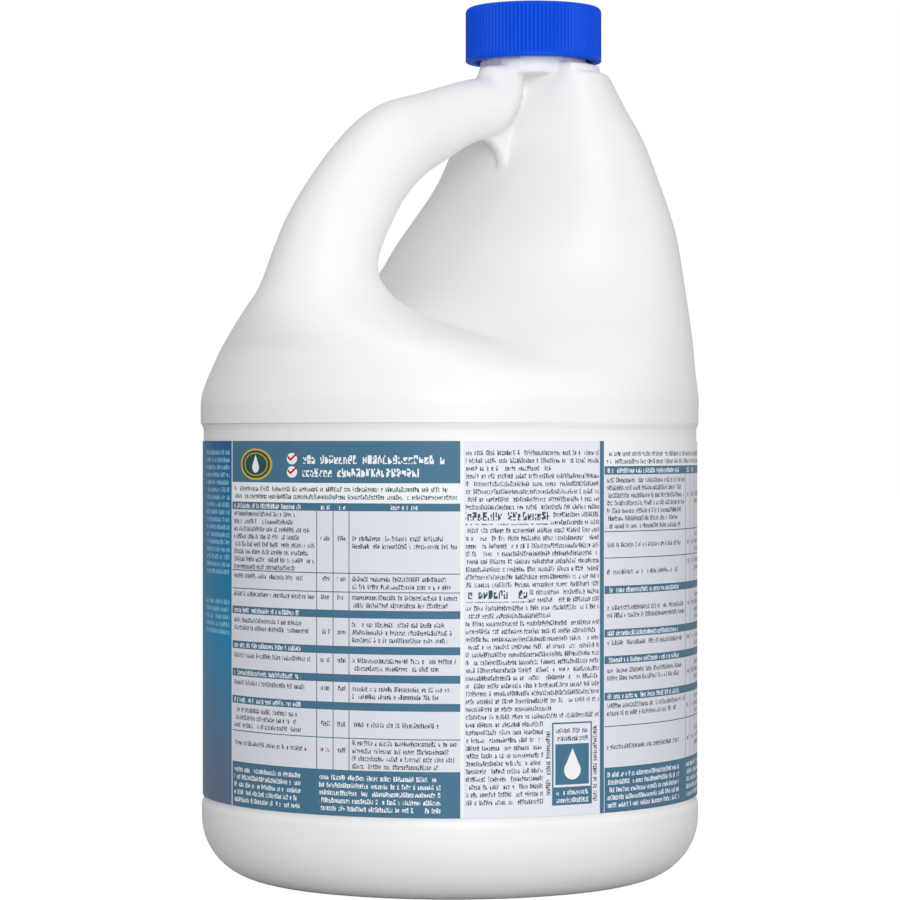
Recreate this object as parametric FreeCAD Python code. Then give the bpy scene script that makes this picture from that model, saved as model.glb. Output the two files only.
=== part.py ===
import FreeCAD, Part
import math
import os

# A round blow-moulded jug with a hollow side handle, an offset neck, a ribbed screw cap,
# the cap's sealing disc and a wrap-around label. Sizes are in millimetres. The origin is
# the centre of the base on the table, +Z is up, the handle is at -X and the neck at +X.

# Whole object
TOTAL_HEIGHT = 285.0
BODY_RADIUS = 80.6
WALL = 1.2

# Round lower body
BASE_CORNER = 20.0
BASE_RING_INNER = 55.0
BASE_PUSH_UP = 5.0
RECESS_RADIUS = 80.0
RECESS_BOTTOM = 26.0
RECESS_TOP = 146.6
SHOULDER_START = 157.0
SHOULDER_ARCS = [(9.0, 60.0), (60.0, 80.0)]

# Neck and collar
NECK_X = 37.4
NECK_RADIUS = 17.35
NECK_BORE = 15.6
NECK_TOP = 282.4
NECK_FOOT = 236.0
COLLAR_RADIUS = 22.1
COLLAR_BOTTOM = 262.0
COLLAR_TOP = 265.4
COLLAR_BACK_X = 31.0

# Offset upper chamber: at each height, the place of its widest line, how far it reaches
# to the front and to the back of that line, its half width, and the squareness of its back
CHAMBER = [
    (150.0, 2.0, 76.0, 72.0, 76.0, 2.0),
    (161.0, 3.0, 77.0, 70.0, 78.5, 2.0),
    (166.0, 6.0, 74.0, 61.0, 76.5, 2.0),
    (172.0, 12.0, 68.0, 52.0, 73.0, 2.1),
    (181.0, 23.0, 57.0, 47.0, 66.0, 2.2),
    (194.0, 34.0, 45.6, 39.1, 57.8, 2.5),
    (208.0, 39.0, 39.8, 32.8, 51.9, 2.7),
    (228.0, 43.0, 32.5, 24.3, 41.6, 3.0),
    (241.0, 43.0, 28.5, 20.5, 35.6, 2.8),
    (252.0, 40.6, 26.6, 18.5, 29.3, 2.4),
    (262.2, NECK_X, 24.5, 18.0, 24.5, 2.0),
]
SECTION_POINTS = 20

# Hollow handle: the centres and radii of its round sections, from the neck to the shoulder
HANDLE = [
    (29.0, 252.0, 9.6),
    (14.5, 248.2, 11.2),
    (3.0, 245.4, 10.6),
    (-10.5, 241.8, 11.8),
    (-24.0, 235.9, 13.6),
    (-36.5, 224.8, 14.4),
    (-48.5, 208.3, 15.7),
    (-54.6, 195.0, 16.8),
    (-57.0, 180.0, 17.6),
    (-57.0, 166.0, 17.6),
]

# Flare that spreads the handle's foot into the shoulder: at each height, its centre and
# its half sizes along and across the bottle
FOOT = [
    (155.0, -2.0, 77.0, 77.0),
    (163.0, -8.0, 70.5, 70.5),
    (169.5, -27.0, 49.5, 56.0),
    (176.0, -44.5, 32.0, 38.5),
    (184.0, -53.0, 23.5, 25.5),
    (195.0, -54.8, 17.0, 17.0),
]

# Flat web that fills the corner between the handle and the upper chamber
WEB_THICKNESS = 4.5
WEB_TOP = 246.0
WEB_LEFT_X = 14.5
WEB_CORNER = (15.2, 236.0)
WEB_ARC_POINT = (18.9, 233.6)
WEB_TIP = (20.4, 228.0)
WEB_RIGHT_X = 30.0

# Screw cap
CAP_RADIUS = 22.6
CAP_BOTTOM = 266.9
CAP_BORE = 19.2
CAP_TOP_THICKNESS = 1.4
CAP_EDGE_ROUND = 1.8
RIB_COUNT = 104
RIB_DEPTH = 0.45
CAP_RIM_HEIGHT = 1.0

# Sealing disc inside the cap
LINER_RADIUS = 18.6
LINER_GAP = 0.05
LINER_TOP_GAP = 0.1

# Wrap-around label, with a narrow butt seam
LABEL_INNER = 80.05
LABEL_OUTER = 80.35
LABEL_BOTTOM = 27.0
LABEL_TOP = 141.0
LABEL_SEAM_ANGLE = -97.1
LABEL_SEAM_WIDTH = 0.4

AXIS_ORIGIN = FreeCAD.Vector(0, 0, 0)
UP = FreeCAD.Vector(0, 0, 1)


def on_side(x, z):
    """A point in the middle plane, which holds the handle and the neck."""
    return FreeCAD.Vector(x, 0, z)


def arc(start, middle, end):
    return Part.Arc(start, middle, end).toShape()


def turned(edges):
    """The solid that a closed outline in the middle plane sweeps about the upright axis."""
    return Part.Face(Part.Wire(edges)).revolve(AXIS_ORIGIN, UP, 360)


def ring(inner, outer, bottom, top, x=0.0):
    """An upright tube with square ends."""
    place = FreeCAD.Vector(x, 0, bottom)
    height = top - bottom
    return Part.makeCylinder(outer, height, place).cut(Part.makeCylinder(inner, height, place))


def round_body(inset):
    """The round lower body up to its domed shoulder, with every face moved in by the inset."""
    side = BODY_RADIUS - inset
    corner = BASE_CORNER - inset
    corner_x = BODY_RADIUS - BASE_CORNER
    half = math.sqrt(0.5)
    push_up = on_side(0, BASE_PUSH_UP + inset)
    ring_inner = on_side(BASE_RING_INNER, inset)
    ring_outer = on_side(corner_x, inset)
    side_foot = on_side(side, BASE_CORNER)
    hollow_middle = on_side(BASE_RING_INNER / 2, BASE_PUSH_UP * 0.75 + inset)
    corner_middle = on_side(corner_x + corner * half, BASE_CORNER - corner * half)

    edges = [arc(push_up, hollow_middle, ring_inner)]
    edges.append(Part.makeLine(ring_inner, ring_outer))
    edges.append(arc(ring_outer, corner_middle, side_foot))
    place = on_side(side, SHOULDER_START)
    edges.append(Part.makeLine(side_foot, place))

    # The shoulder turns from upright to level through arcs of growing radius
    turn = 0.0
    arcs = [(radius - inset, end) for radius, end in SHOULDER_ARCS]
    reach = side - sum(
        radius * (math.cos(math.radians(start)) - math.cos(math.radians(end)))
        for (radius, end), start in zip(arcs, [0.0] + [end for _, end in arcs])
    )
    last_turn = arcs[-1][1]
    arcs.append((reach / math.cos(math.radians(last_turn)), 90.0))
    for radius, end in arcs:
        steps = [math.radians(turn), math.radians((turn + end) / 2), math.radians(end)]
        offsets = [
            on_side(radius * (math.cos(a) - math.cos(steps[0])), radius * (math.sin(a) - math.sin(steps[0])))
            for a in steps
        ]
        points = [place + offset for offset in offsets]
        edges.append(arc(*points))
        place = points[-1]
        turn = end
    edges.append(Part.makeLine(place, push_up))
    return turned(edges)


def chamber_section(z, middle, front, back, half_width, squareness):
    """A closed level curve: half an ellipse in front, and a squarer half towards the handle."""
    points = []
    for index in range(SECTION_POINTS):
        angle = 2 * math.pi * index / SECTION_POINTS
        c = math.cos(angle)
        s = math.sin(angle)
        power = 1.0 if c >= 0 else 2.0 / squareness
        reach = front if c >= 0 else back
        x = middle + math.copysign(reach * abs(c) ** power, c)
        y = math.copysign(half_width * abs(s) ** power, s)
        points.append(FreeCAD.Vector(x, y, z))
    curve = Part.BSplineCurve()
    curve.interpolate(Points=points, PeriodicFlag=True)
    return Part.Wire(curve.toShape())


def upper_chamber(inset):
    """The offset chamber that narrows from the shoulder to the neck."""
    sections = [
        chamber_section(z, middle, front - inset, back - inset, half_width - inset, squareness)
        for z, middle, front, back, half_width, squareness in CHAMBER
    ]
    return Part.makeLoft(sections, True, False)


def handle_foot(inset):
    """The flare from the round shoulder up into the handle."""
    sections = [
        chamber_section(z, middle, along - inset, along - inset, across - inset, 2.0)
        for z, middle, along, across in FOOT
    ]
    return Part.makeLoft(sections, True, False)


def handle_tube(inset):
    """A round tube through the handle's stations, square to its centre line at each."""
    rings = []
    for index, (x, z, radius) in enumerate(HANDLE):
        before = HANDLE[max(index - 1, 0)]
        after = HANDLE[min(index + 1, len(HANDLE) - 1)]
        along = on_side(after[0] - before[0], after[1] - before[1])
        lean = math.degrees(math.atan2(along.x, along.z))
        circle = Part.Wire(Part.makeCircle(radius - inset))
        circle.rotate(AXIS_ORIGIN, FreeCAD.Vector(0, 1, 0), lean)
        circle.translate(on_side(x, z))
        rings.append(circle)
    return Part.makeLoft(rings, True, False)


def neck(inset):
    """The plain upright neck, or its bore when inset."""
    radius = NECK_BORE if inset else NECK_RADIUS
    past_the_rim = inset
    place = on_side(NECK_X, NECK_FOOT + inset)
    return Part.makeCylinder(radius, NECK_TOP - NECK_FOOT - inset + past_the_rim, place)


def collar():
    """The bead below the cap, open on the handle's side."""
    bead = Part.makeCylinder(COLLAR_RADIUS, COLLAR_TOP - COLLAR_BOTTOM, on_side(NECK_X, COLLAR_BOTTOM))
    size = 2 * COLLAR_RADIUS
    corner = FreeCAD.Vector(COLLAR_BACK_X - size, -size / 2, COLLAR_BOTTOM)
    return bead.cut(Part.makeBox(size, size, COLLAR_TOP - COLLAR_BOTTOM, corner))


def web():
    """The flat web under the handle's end, with a hollow edge towards the finger gap."""
    corner = on_side(*WEB_CORNER)
    tip = on_side(*WEB_TIP)
    outline = [
        arc(corner, on_side(*WEB_ARC_POINT), tip),
        Part.makeLine(tip, on_side(WEB_RIGHT_X, WEB_TIP[1])),
        Part.makeLine(on_side(WEB_RIGHT_X, WEB_TIP[1]), on_side(WEB_RIGHT_X, WEB_TOP)),
        Part.makeLine(on_side(WEB_RIGHT_X, WEB_TOP), on_side(WEB_LEFT_X, WEB_TOP)),
        Part.makeLine(on_side(WEB_LEFT_X, WEB_TOP), corner),
    ]
    plate = Part.Face(Part.Wire(outline)).extrude(FreeCAD.Vector(0, WEB_THICKNESS, 0))
    plate.translate(FreeCAD.Vector(0, -WEB_THICKNESS / 2, 0))
    return plate


def filled(inset):
    """The bottle's whole form as one solid, or the space inside it when inset."""
    forms = [upper_chamber(inset), handle_tube(inset), handle_foot(inset), neck(inset)]
    return round_body(inset).fuse(forms)


def bottle():
    """One blown shell: body, upper chamber, handle and neck, hollow right through."""
    outside = filled(0).fuse([collar(), web()])
    recess = ring(RECESS_RADIUS, BODY_RADIUS + 5, RECESS_BOTTOM, RECESS_TOP)
    return outside.cut(recess).cut(filled(WALL)).removeSplitter()


def ribbed_outline():
    """The cap's gear-like outline, with a shallow groove between each two ribs."""
    points = []
    for index in range(2 * RIB_COUNT + 1):
        angle = math.pi * (index % (2 * RIB_COUNT)) / RIB_COUNT
        radius = CAP_RADIUS - RIB_DEPTH * (index % 2)
        points.append(FreeCAD.Vector(NECK_X + radius * math.cos(angle), radius * math.sin(angle), CAP_BOTTOM))
    return Part.makePolygon(points)


def cap():
    """The ribbed skirt with a rounded top edge and a plain rim, bored for the neck."""
    height = TOTAL_HEIGHT - CAP_BOTTOM
    blank = Part.makeCylinder(CAP_RADIUS, height, on_side(NECK_X, CAP_BOTTOM))
    top_edge = [edge for edge in blank.Edges if abs(edge.BoundBox.ZMin - TOTAL_HEIGHT) < 0.01]
    blank = blank.makeFillet(CAP_EDGE_ROUND, top_edge)
    ribbed = Part.Face(ribbed_outline()).extrude(FreeCAD.Vector(0, 0, height))
    body = blank.common(ribbed)
    rim = Part.makeCylinder(CAP_RADIUS, CAP_RIM_HEIGHT, on_side(NECK_X, CAP_BOTTOM))
    bore = Part.makeCylinder(CAP_BORE, height - CAP_TOP_THICKNESS, on_side(NECK_X, CAP_BOTTOM))
    return body.fuse(rim).cut(bore).removeSplitter()


def cap_liner():
    """The soft disc that the cap presses on the neck's rim."""
    bottom = NECK_TOP + LINER_GAP
    top = TOTAL_HEIGHT - CAP_TOP_THICKNESS - LINER_TOP_GAP
    return Part.makeCylinder(LINER_RADIUS, top - bottom, on_side(NECK_X, bottom))


def wrap_label():
    """The thin printed sleeve in the body's recess, with its seam at one side."""
    sleeve = ring(LABEL_INNER, LABEL_OUTER, LABEL_BOTTOM, LABEL_TOP)
    size = LABEL_TOP - LABEL_BOTTOM
    corner = FreeCAD.Vector(0, -LABEL_SEAM_WIDTH / 2, LABEL_BOTTOM)
    slit = Part.makeBox(size, LABEL_SEAM_WIDTH, size, corner)
    slit.rotate(AXIS_ORIGIN, UP, LABEL_SEAM_ANGLE)
    return sleeve.cut(slit)


def main():
    os.makedirs("parts", exist_ok=True)
    pieces = {
        "bottle": bottle(),
        "cap": cap(),
        "cap_liner": cap_liner(),
        "wrap_label": wrap_label(),
    }
    for name, shape in pieces.items():
        shape.exportStep("parts/" + name + ".step")
        box = shape.BoundBox
        print(name, "valid", shape.isValid(), "solids", len(shape.Solids), "volume", round(shape.Volume))
        print("  x", round(box.XMin, 2), round(box.XMax, 2), "z", round(box.ZMin, 2), round(box.ZMax, 2))
    print("inside volume", round(filled(WALL).Volume / 1000), "millilitres")


main()
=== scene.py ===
import bpy
import math
import numpy as np
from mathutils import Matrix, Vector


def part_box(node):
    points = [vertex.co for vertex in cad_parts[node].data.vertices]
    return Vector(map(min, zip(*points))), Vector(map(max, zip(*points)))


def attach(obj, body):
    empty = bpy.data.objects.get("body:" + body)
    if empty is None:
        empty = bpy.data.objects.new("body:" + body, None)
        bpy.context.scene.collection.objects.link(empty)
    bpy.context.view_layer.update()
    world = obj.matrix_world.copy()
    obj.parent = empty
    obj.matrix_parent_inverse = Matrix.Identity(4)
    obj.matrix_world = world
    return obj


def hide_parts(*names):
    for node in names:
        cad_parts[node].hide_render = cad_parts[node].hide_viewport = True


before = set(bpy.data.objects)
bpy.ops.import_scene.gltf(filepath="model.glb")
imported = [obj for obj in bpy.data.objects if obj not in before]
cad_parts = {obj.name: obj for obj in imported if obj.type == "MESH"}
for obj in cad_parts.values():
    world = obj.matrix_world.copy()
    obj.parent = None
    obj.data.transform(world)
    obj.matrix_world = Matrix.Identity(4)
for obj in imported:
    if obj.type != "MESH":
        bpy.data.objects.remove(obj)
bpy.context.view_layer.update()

# A blow-moulded jug with a hollow handle, its ribbed screw cap and its printed sleeve.
# Forms are worked out in millimetres, in the frame's own axes, and turned into metres
# when a mesh is made.
MM = 0.001


def in_mm(corner):
    return [value / MM for value in corner]


bottle_low, bottle_high = [in_mm(corner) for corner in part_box("bottle")]
cap_low, cap_high = [in_mm(corner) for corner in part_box("cap")]
label_low, label_high = [in_mm(corner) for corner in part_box("wrap_label")]

BODY_RADIUS = (bottle_high[1] - bottle_low[1]) / 2
NECK_X = (cap_low[0] + cap_high[0]) / 2
NECK_TOP = bottle_high[2]
CAP_BOTTOM = cap_low[2]
CAP_TOP = cap_high[2]
CAP_RADIUS = (cap_high[1] - cap_low[1]) / 2
LABEL_RADIUS = label_high[1]
LABEL_BOTTOM = label_low[2]
LABEL_TOP = label_high[2]

# Bottle
WALL = 1.2
RECESS_DEPTH = 0.6
RECESS_BOTTOM = 26.0
RECESS_TOP = 146.6
BASE_CORNER = 20.0
BASE_RING_INNER = 55.0
BASE_RING_EDGE = 0.12
BASE_PUSH_UP = 5.0
RECESS_EASE = 2.2
SHOULDER_ROUND = 9.0
SHOULDER_TOP = 177.5
SHOULDER_FALL = 12.5
NECK_RADIUS = 17.35
NECK_BORE = 15.6
NECK_ROOT = 262.0
NECK_JOINT = 267.5
RIM_OUTER_ROUND = 0.6
RIM_INNER_ROUND = 0.4

# Collar bead: radius, bottom and top, then its distance inside the chamber's top outline
COLLAR = (22.1, 260.5, 265.4)
COLLAR_INSET = 0.2

# Raised pads on the neck's root, in degrees from the front for their places
LUG_RADIUS = 18.0
LUG_TOP = 267.2
FRONT_LUG_END = 95.0
BACK_LUG_MIDDLE = 158.5
BACK_LUG_HALF = 13.5

# Upper chamber: height, widest line, reach to the front, reach to the back, half width,
# squareness of the back
CHAMBER = [
    (150.0, 2.0, 76.0, 72.0, 76.0, 2.0),
    (161.0, 3.0, 77.0, 70.0, 78.5, 2.0),
    (166.0, 6.0, 74.0, 61.0, 76.5, 2.0),
    (172.0, 12.0, 68.0, 52.0, 73.0, 2.1),
    (181.0, 23.0, 57.0, 47.0, 66.0, 2.2),
    (194.0, 34.0, 45.6, 38.5, 57.8, 2.6),
    (208.0, 39.0, 39.8, 31.0, 51.9, 3.1),
    (228.0, 43.0, 32.5, 21.0, 41.4, 3.6),
    (241.0, 43.0, 28.5, 18.2, 35.5, 3.1),
    (252.0, 40.6, 26.6, 12.2, 29.3, 2.8),
    (262.2, 40.0, 21.9, 9.3, 24.5, 2.6),
]
CHAMBER_TOP = 262.6

# A leaning side is nearer than it is along the level, by about these shares
CHAMBER_LEAN = 0.88
FOOT_LEAN = 0.8

# Flare under the handle: height, centre, half length, half width
FOOT = [
    (155.0, -2.0, 77.0, 77.0),
    (163.0, -8.0, 71.4, 71.4),
    (169.5, -27.0, 51.0, 57.8),
    (176.0, -44.7, 33.2, 40.2),
    (184.0, -52.8, 23.6, 25.8),
    (191.0, -54.0, 18.4, 18.8),
    (200.0, -54.0, 13.0, 13.0),
]

# Handle: centre x, centre z and radius of its round sections
HANDLE = [
    (23.3, 266.0, 6.9),
    (21.4, 257.0, 8.1),
    (16.5, 251.4, 9.5),
    (10.0, 249.3, 10.1),
    (2.5, 247.0, 10.4),
    (-10.5, 241.8, 11.8),
    (-24.0, 235.9, 13.6),
    (-36.5, 224.8, 14.2),
    (-48.3, 208.3, 15.5),
    (-54.0, 195.0, 16.6),
    (-56.0, 182.0, 17.2),
    (-56.0, 168.0, 17.0),
]
HANDLE_TOP = 264.6

# The handle is measured only in its own room, and counts as this far away elsewhere
HANDLE_BOTTOM = 150.0
HANDLE_FRONT = 40.0
HANDLE_SIDE = 26.0
FAR = 60.0

# Web in the corner under the handle's end: half thickness, hollow edge and limits
WEB_HALF = 2.0
WEB_HOLLOW = (13.8, 231.5, 8.6)
WEB_X = (13.8, 34.0)
WEB_Z = (231.0, 252.0)

# Cap
CAP_RIBS = 104
CAP_RIB_DEPTH = 0.45
CAP_PLAIN_FOOT = 1.0
CAP_EDGE = 1.8
CAP_BORE = 19.2
CAP_TOP_THICKNESS = 1.4
CAP_FOOT_ROUND = 0.5
CAP_DISH = 0.25

# Label
SEAM_ANGLE = math.radians(-97.1)
SEAM_WIDTH = 0.4
LABEL_THICKNESS = 0.25

# Thread: the rise of one turn, half the ridge's width, its slope's run, the run in which
# its ends fade, its limits, and how far the neck's and the cap's ridge stand out
THREAD_LEAD = 4.235
THREAD_HALF = 1.0
THREAD_SLOPE = 0.55
THREAD_FADE = 2.0
THREAD_START = NECK_JOINT + 2.2
NECK_THREAD_END = NECK_TOP - 3.2
CAP_THREAD_END = NECK_TOP - 5.0
NECK_CREST = 1.35
CAP_CREST = 1.3

# Fineness: the levels of the blown form's net, and the flat sides of the turned forms
OUTER_LAYERS = 105
INNER_LAYERS = 40
NET_PULL = 0.6
BODY_SIDES = 256
NECK_SIDES = 176
LABEL_SIDES = 320
SIDES_PER_RIB = 6

# Camera: level, at the photo's side angle, aimed at the photo's horizon
VIEW_AZIMUTH = math.radians(-42.0)
VIEW_DISTANCE = 1.107
VIEW_HEIGHT = 0.141
FOCAL_PIXELS = 3400.0
FRAME_PIXELS = 900.0
HORIZON_ROW = 441.0
SENSOR = 36.0

# Light: how bright the surround is for the jug, the floor's paint and its own glow
WORLD_LEVEL = 0.50
FLOOR_PAINT = 0.56
FLOOR_GLOW = 1.36
FLOOR_GLOW_SHARE = 0.72
FLOOR_REACH = 6.0


def smooth_min(a, b, blend):
    """The lower of two distances, rounded where they cross."""
    overlap = np.maximum(blend - np.abs(a - b), 0.0) / blend
    return np.minimum(a, b) - overlap * overlap * blend / 4


def smooth_max(a, b, blend):
    """The higher of two distances, rounded where they cross."""
    return -smooth_min(-a, -b, blend)


def eased(stations, column, height):
    """A smooth curve through one column of a list of stations, read at each height."""
    levels = np.array([row[0] for row in stations])
    values = np.array([row[column] for row in stations])
    slopes = np.gradient(values, levels)
    at = np.clip(height, levels[0], levels[-1])
    i = np.clip(np.searchsorted(levels, at) - 1, 0, len(levels) - 2)
    span = levels[i + 1] - levels[i]
    t = (at - levels[i]) / span
    lower = (1 + 2 * t) * (1 - t) ** 2 * values[i] + t * (1 - t) ** 2 * span * slopes[i]
    upper = t * t * (3 - 2 * t) * values[i + 1] + t * t * (t - 1) * span * slopes[i + 1]
    return lower + upper


def oval(x, y, middle, front, back, half_width, squareness):
    """Rough distance to a level oval that may be squarer at its back."""
    dx = x - middle
    ahead = dx >= 0
    reach = np.where(ahead, front, back)
    power = np.where(ahead, 2.0, squareness)
    share = ((np.abs(dx) / reach) ** power + (np.abs(y) / half_width) ** power) ** (1 / power)
    return (np.hypot(dx, y) + 1e-4) * (1 - 1 / (share + 1e-6))


def round_body(p):
    """The body's upright side and its domed shoulder."""
    across = np.hypot(p[:, 0], p[:, 1])
    inner = BODY_RADIUS - SHOULDER_ROUND
    top = SHOULDER_TOP - SHOULDER_FALL * (across / inner) ** 2 - SHOULDER_ROUND
    out = across - inner
    up = p[:, 2] - top
    corner = np.hypot(np.maximum(out, 0), np.maximum(up, 0))
    return corner + np.minimum(np.maximum(out, up), 0) - SHOULDER_ROUND


def chamber(p):
    """The upper chamber that leans towards the neck."""
    sizes = [eased(CHAMBER, column, p[:, 2]) for column in range(1, 6)]
    side = oval(p[:, 0], p[:, 1], *sizes) * CHAMBER_LEAN
    return smooth_max(side, p[:, 2] - CHAMBER_TOP, 1.6)


def foot(p):
    """The flare that carries the handle's lower end."""
    middle, along, across = [eased(FOOT, column, p[:, 2]) for column in range(1, 4)]
    side = oval(p[:, 0], p[:, 1], middle, along, along, across, 2.0) * FOOT_LEAN
    return smooth_max(side, p[:, 2] - FOOT[-1][0], 4.0)


def handle_route(steps=110):
    """Points and radii along the handle, evenly spaced by station."""
    stations = [(index, x, z, radius) for index, (x, z, radius) in enumerate(HANDLE)]
    at = np.linspace(0, len(HANDLE) - 1, steps)
    x, z, radius = [eased(stations, column, at) for column in (1, 2, 3)]
    return np.stack([x, np.zeros(steps), z], axis=1), radius


ROUTE, ROUTE_RADII = handle_route()


def handle(p):
    """Distance to a tube whose radius changes along the handle's route."""
    result = np.full(len(p), FAR)
    close = (p[:, 2] > HANDLE_BOTTOM) & (p[:, 0] < HANDLE_FRONT) & (np.abs(p[:, 1]) < HANDLE_SIDE)
    q = p[close]
    best = np.full(len(q), FAR)
    for start, end, radius, next_radius in zip(ROUTE[:-1], ROUTE[1:], ROUTE_RADII[:-1], ROUTE_RADII[1:]):
        run = end - start
        t = np.clip(((q - start) @ run) / (run @ run), 0, 1)
        away = q - start - t[:, None] * run
        best = np.minimum(best, np.sqrt((away * away).sum(axis=1)) - radius - t * (next_radius - radius))
    result[close] = smooth_max(best, q[:, 2] - HANDLE_TOP, 2.0)
    return result


def web(p):
    """The flat web, with its hollow edge towards the hand."""
    x, y, z = p.T
    centre_x, centre_z, hollow = WEB_HOLLOW
    edge = hollow - np.hypot(x - centre_x, z - centre_z)
    edge = np.maximum(edge, np.maximum(WEB_X[0] - x, x - WEB_X[1]))
    edge = np.maximum(edge, np.maximum(WEB_Z[0] - z, z - WEB_Z[1]))
    return smooth_max(np.abs(y) - WEB_HALF, edge, 0.6)


def collar(p):
    """The bead round the neck's root, which keeps inside the chamber's top outline."""
    radius, bottom, top = COLLAR
    across = np.hypot(p[:, 0] - NECK_X, p[:, 1])
    ring = smooth_max(across - radius, np.maximum(bottom - p[:, 2], p[:, 2] - top), 1.2)
    outline = oval(p[:, 0], p[:, 1], *CHAMBER[-1][1:]) * CHAMBER_LEAN + COLLAR_INSET
    return smooth_max(ring, outline, 1.0)


def neck_lugs(p):
    """Raised pads on the neck's root: a wide one in front and two beside the handle."""
    x = p[:, 0] - NECK_X
    across = np.hypot(x, p[:, 1])
    turn = np.degrees(np.arctan2(np.abs(p[:, 1]), x))
    beside = np.abs(turn - BACK_LUG_MIDDLE) - BACK_LUG_HALF
    aside = np.minimum(turn - FRONT_LUG_END, beside) * math.radians(LUG_RADIUS)
    upright = np.maximum(p[:, 2] - LUG_TOP, NECK_ROOT - p[:, 2])
    return smooth_max(smooth_max(across - LUG_RADIUS, upright, 0.5), aside, 0.5)


def hollow_form(p, neck_radius):
    """The jug's main form without its solid trim, up to an endless neck."""
    shape = smooth_min(round_body(p), chamber(p), 4.0)
    neck = np.maximum(np.hypot(p[:, 0] - NECK_X, p[:, 1]) - neck_radius, NECK_ROOT - p[:, 2])
    shape = smooth_min(shape, neck, 2.0)
    grip = smooth_min(foot(p), handle(p), 4.0)
    blend = 2.2 + 1.8 * np.clip(-p[:, 0] / 30.0, 0, 1)
    return smooth_min(shape, grip, blend)


def outer_form(p):
    """The outside, with its collar, pads and web."""
    shape = hollow_form(p, NECK_RADIUS)
    shape = smooth_min(shape, collar(p), 0.8)
    shape = smooth_min(shape, neck_lugs(p), 0.3)
    return smooth_min(shape, web(p), 1.0)


def inner_form(p):
    """The hollow inside, one wall below the main form."""
    return hollow_form(p, NECK_BORE + WALL) + WALL


def settled(points, form, rounds):
    """Points moved along the form's slope until they lie on it."""
    step = 0.05
    for _ in range(rounds):
        value = form(points)
        slope = np.stack([form(points + step * axis) - value for axis in np.eye(3)], axis=1) / step
        length = np.maximum((slope * slope).sum(axis=1), 0.05)
        move = value / length
        points = points - np.clip(move, -1.5, 1.5)[:, None] * slope
    return points


def skin(form, low, high, layers, smoothing):
    """A quad net over the form, open at its lowest and highest level."""
    pitch = (high[2] - low[2]) / layers
    start = np.array([low[0], low[1], low[2] - pitch / 2])
    counts = [int(math.ceil((high[i] - low[i]) / pitch)) + 2 for i in range(2)] + [layers + 2]
    axes = [start[i] + pitch * np.arange(counts[i]) for i in range(3)]
    level = np.stack(np.meshgrid(axes[0], axes[1], indexing="ij"), axis=-1).reshape(-1, 2)
    inside = np.zeros(counts, dtype=bool)
    for k, z in enumerate(axes[2]):
        points = np.column_stack([level, np.full(len(level), z)])
        inside[:, :, k] = (form(points) < 0).reshape(counts[0], counts[1])

    corners = sum(
        inside[i:counts[0] - 1 + i, j:counts[1] - 1 + j, k:counts[2] - 1 + k].astype(int)
        for i in (0, 1) for j in (0, 1) for k in (0, 1)
    )
    mixed = (corners > 0) & (corners < 8)
    number = np.full(mixed.shape, -1)
    number[mixed] = np.arange(mixed.sum())
    cells = np.argwhere(mixed)
    points = start + (cells + 0.5) * pitch

    quads = []
    for axis in range(3):
        u, v = (axis + 1) % 3, (axis + 2) % 3
        lower = np.moveaxis(inside, axis, 0)[:-1]
        upper = np.moveaxis(inside, axis, 0)[1:]
        edges = np.argwhere(np.moveaxis(lower != upper, 0, axis))
        keep = (edges[:, u] > 0) & (edges[:, v] > 0)
        keep &= (edges[:, u] < counts[u] - 1) & (edges[:, v] < counts[v] - 1)
        edges = edges[keep]
        outward = inside[tuple(edges.T)]
        ring = []
        for du, dv in ((1, 1), (0, 1), (0, 0), (1, 0)):
            cell = edges.copy()
            cell[:, u] -= du
            cell[:, v] -= dv
            ring.append(number[tuple(cell.T)])
        quad = np.stack(ring, axis=1)
        quad[~outward] = quad[~outward][:, ::-1]
        quads.append(quad)
    quads = np.concatenate(quads)

    floor_cells = cells[:, 2] == 0
    roof_cells = cells[:, 2] == layers
    sides = np.concatenate([quads[:, [0, 1]], quads[:, [1, 2]], quads[:, [2, 3]], quads[:, [3, 0]]])
    sides = np.concatenate([sides, sides[:, ::-1]])
    neighbours = np.bincount(sides[:, 0], minlength=len(points))[:, None]
    points = settled(points, form, 5)
    for _ in range(smoothing):
        total = [np.bincount(sides[:, 0], points[sides[:, 1], i], minlength=len(points)) for i in range(3)]
        points = points + NET_PULL * (np.stack(total, axis=1) / neighbours - points)
        points[floor_cells, 2] = low[2]
        points[roof_cells, 2] = high[2]
        points = settled(points, form, 2)
        points[floor_cells, 2] = low[2]
        points[roof_cells, 2] = high[2]
    return points, quads


def turned(outline, count, centre_x=0.0):
    """Points and quads of an outline of (radius, height) turned about an upright axis."""
    angles = 2 * math.pi * np.arange(count) / count
    outline = np.array(outline, dtype=float)
    radius = np.repeat(outline[:, 0], count)
    height = np.repeat(outline[:, 1], count)
    around = np.tile(angles, len(outline))
    points = np.column_stack([centre_x + radius * np.cos(around), radius * np.sin(around), height])
    i, j = [index.ravel() for index in np.meshgrid(range(len(outline) - 1), range(count), indexing="ij")]
    lower = i * count
    upper = lower + count
    across = (j + 1) % count
    return points, np.column_stack([lower + j, lower + across, upper + across, upper + j])


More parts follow.
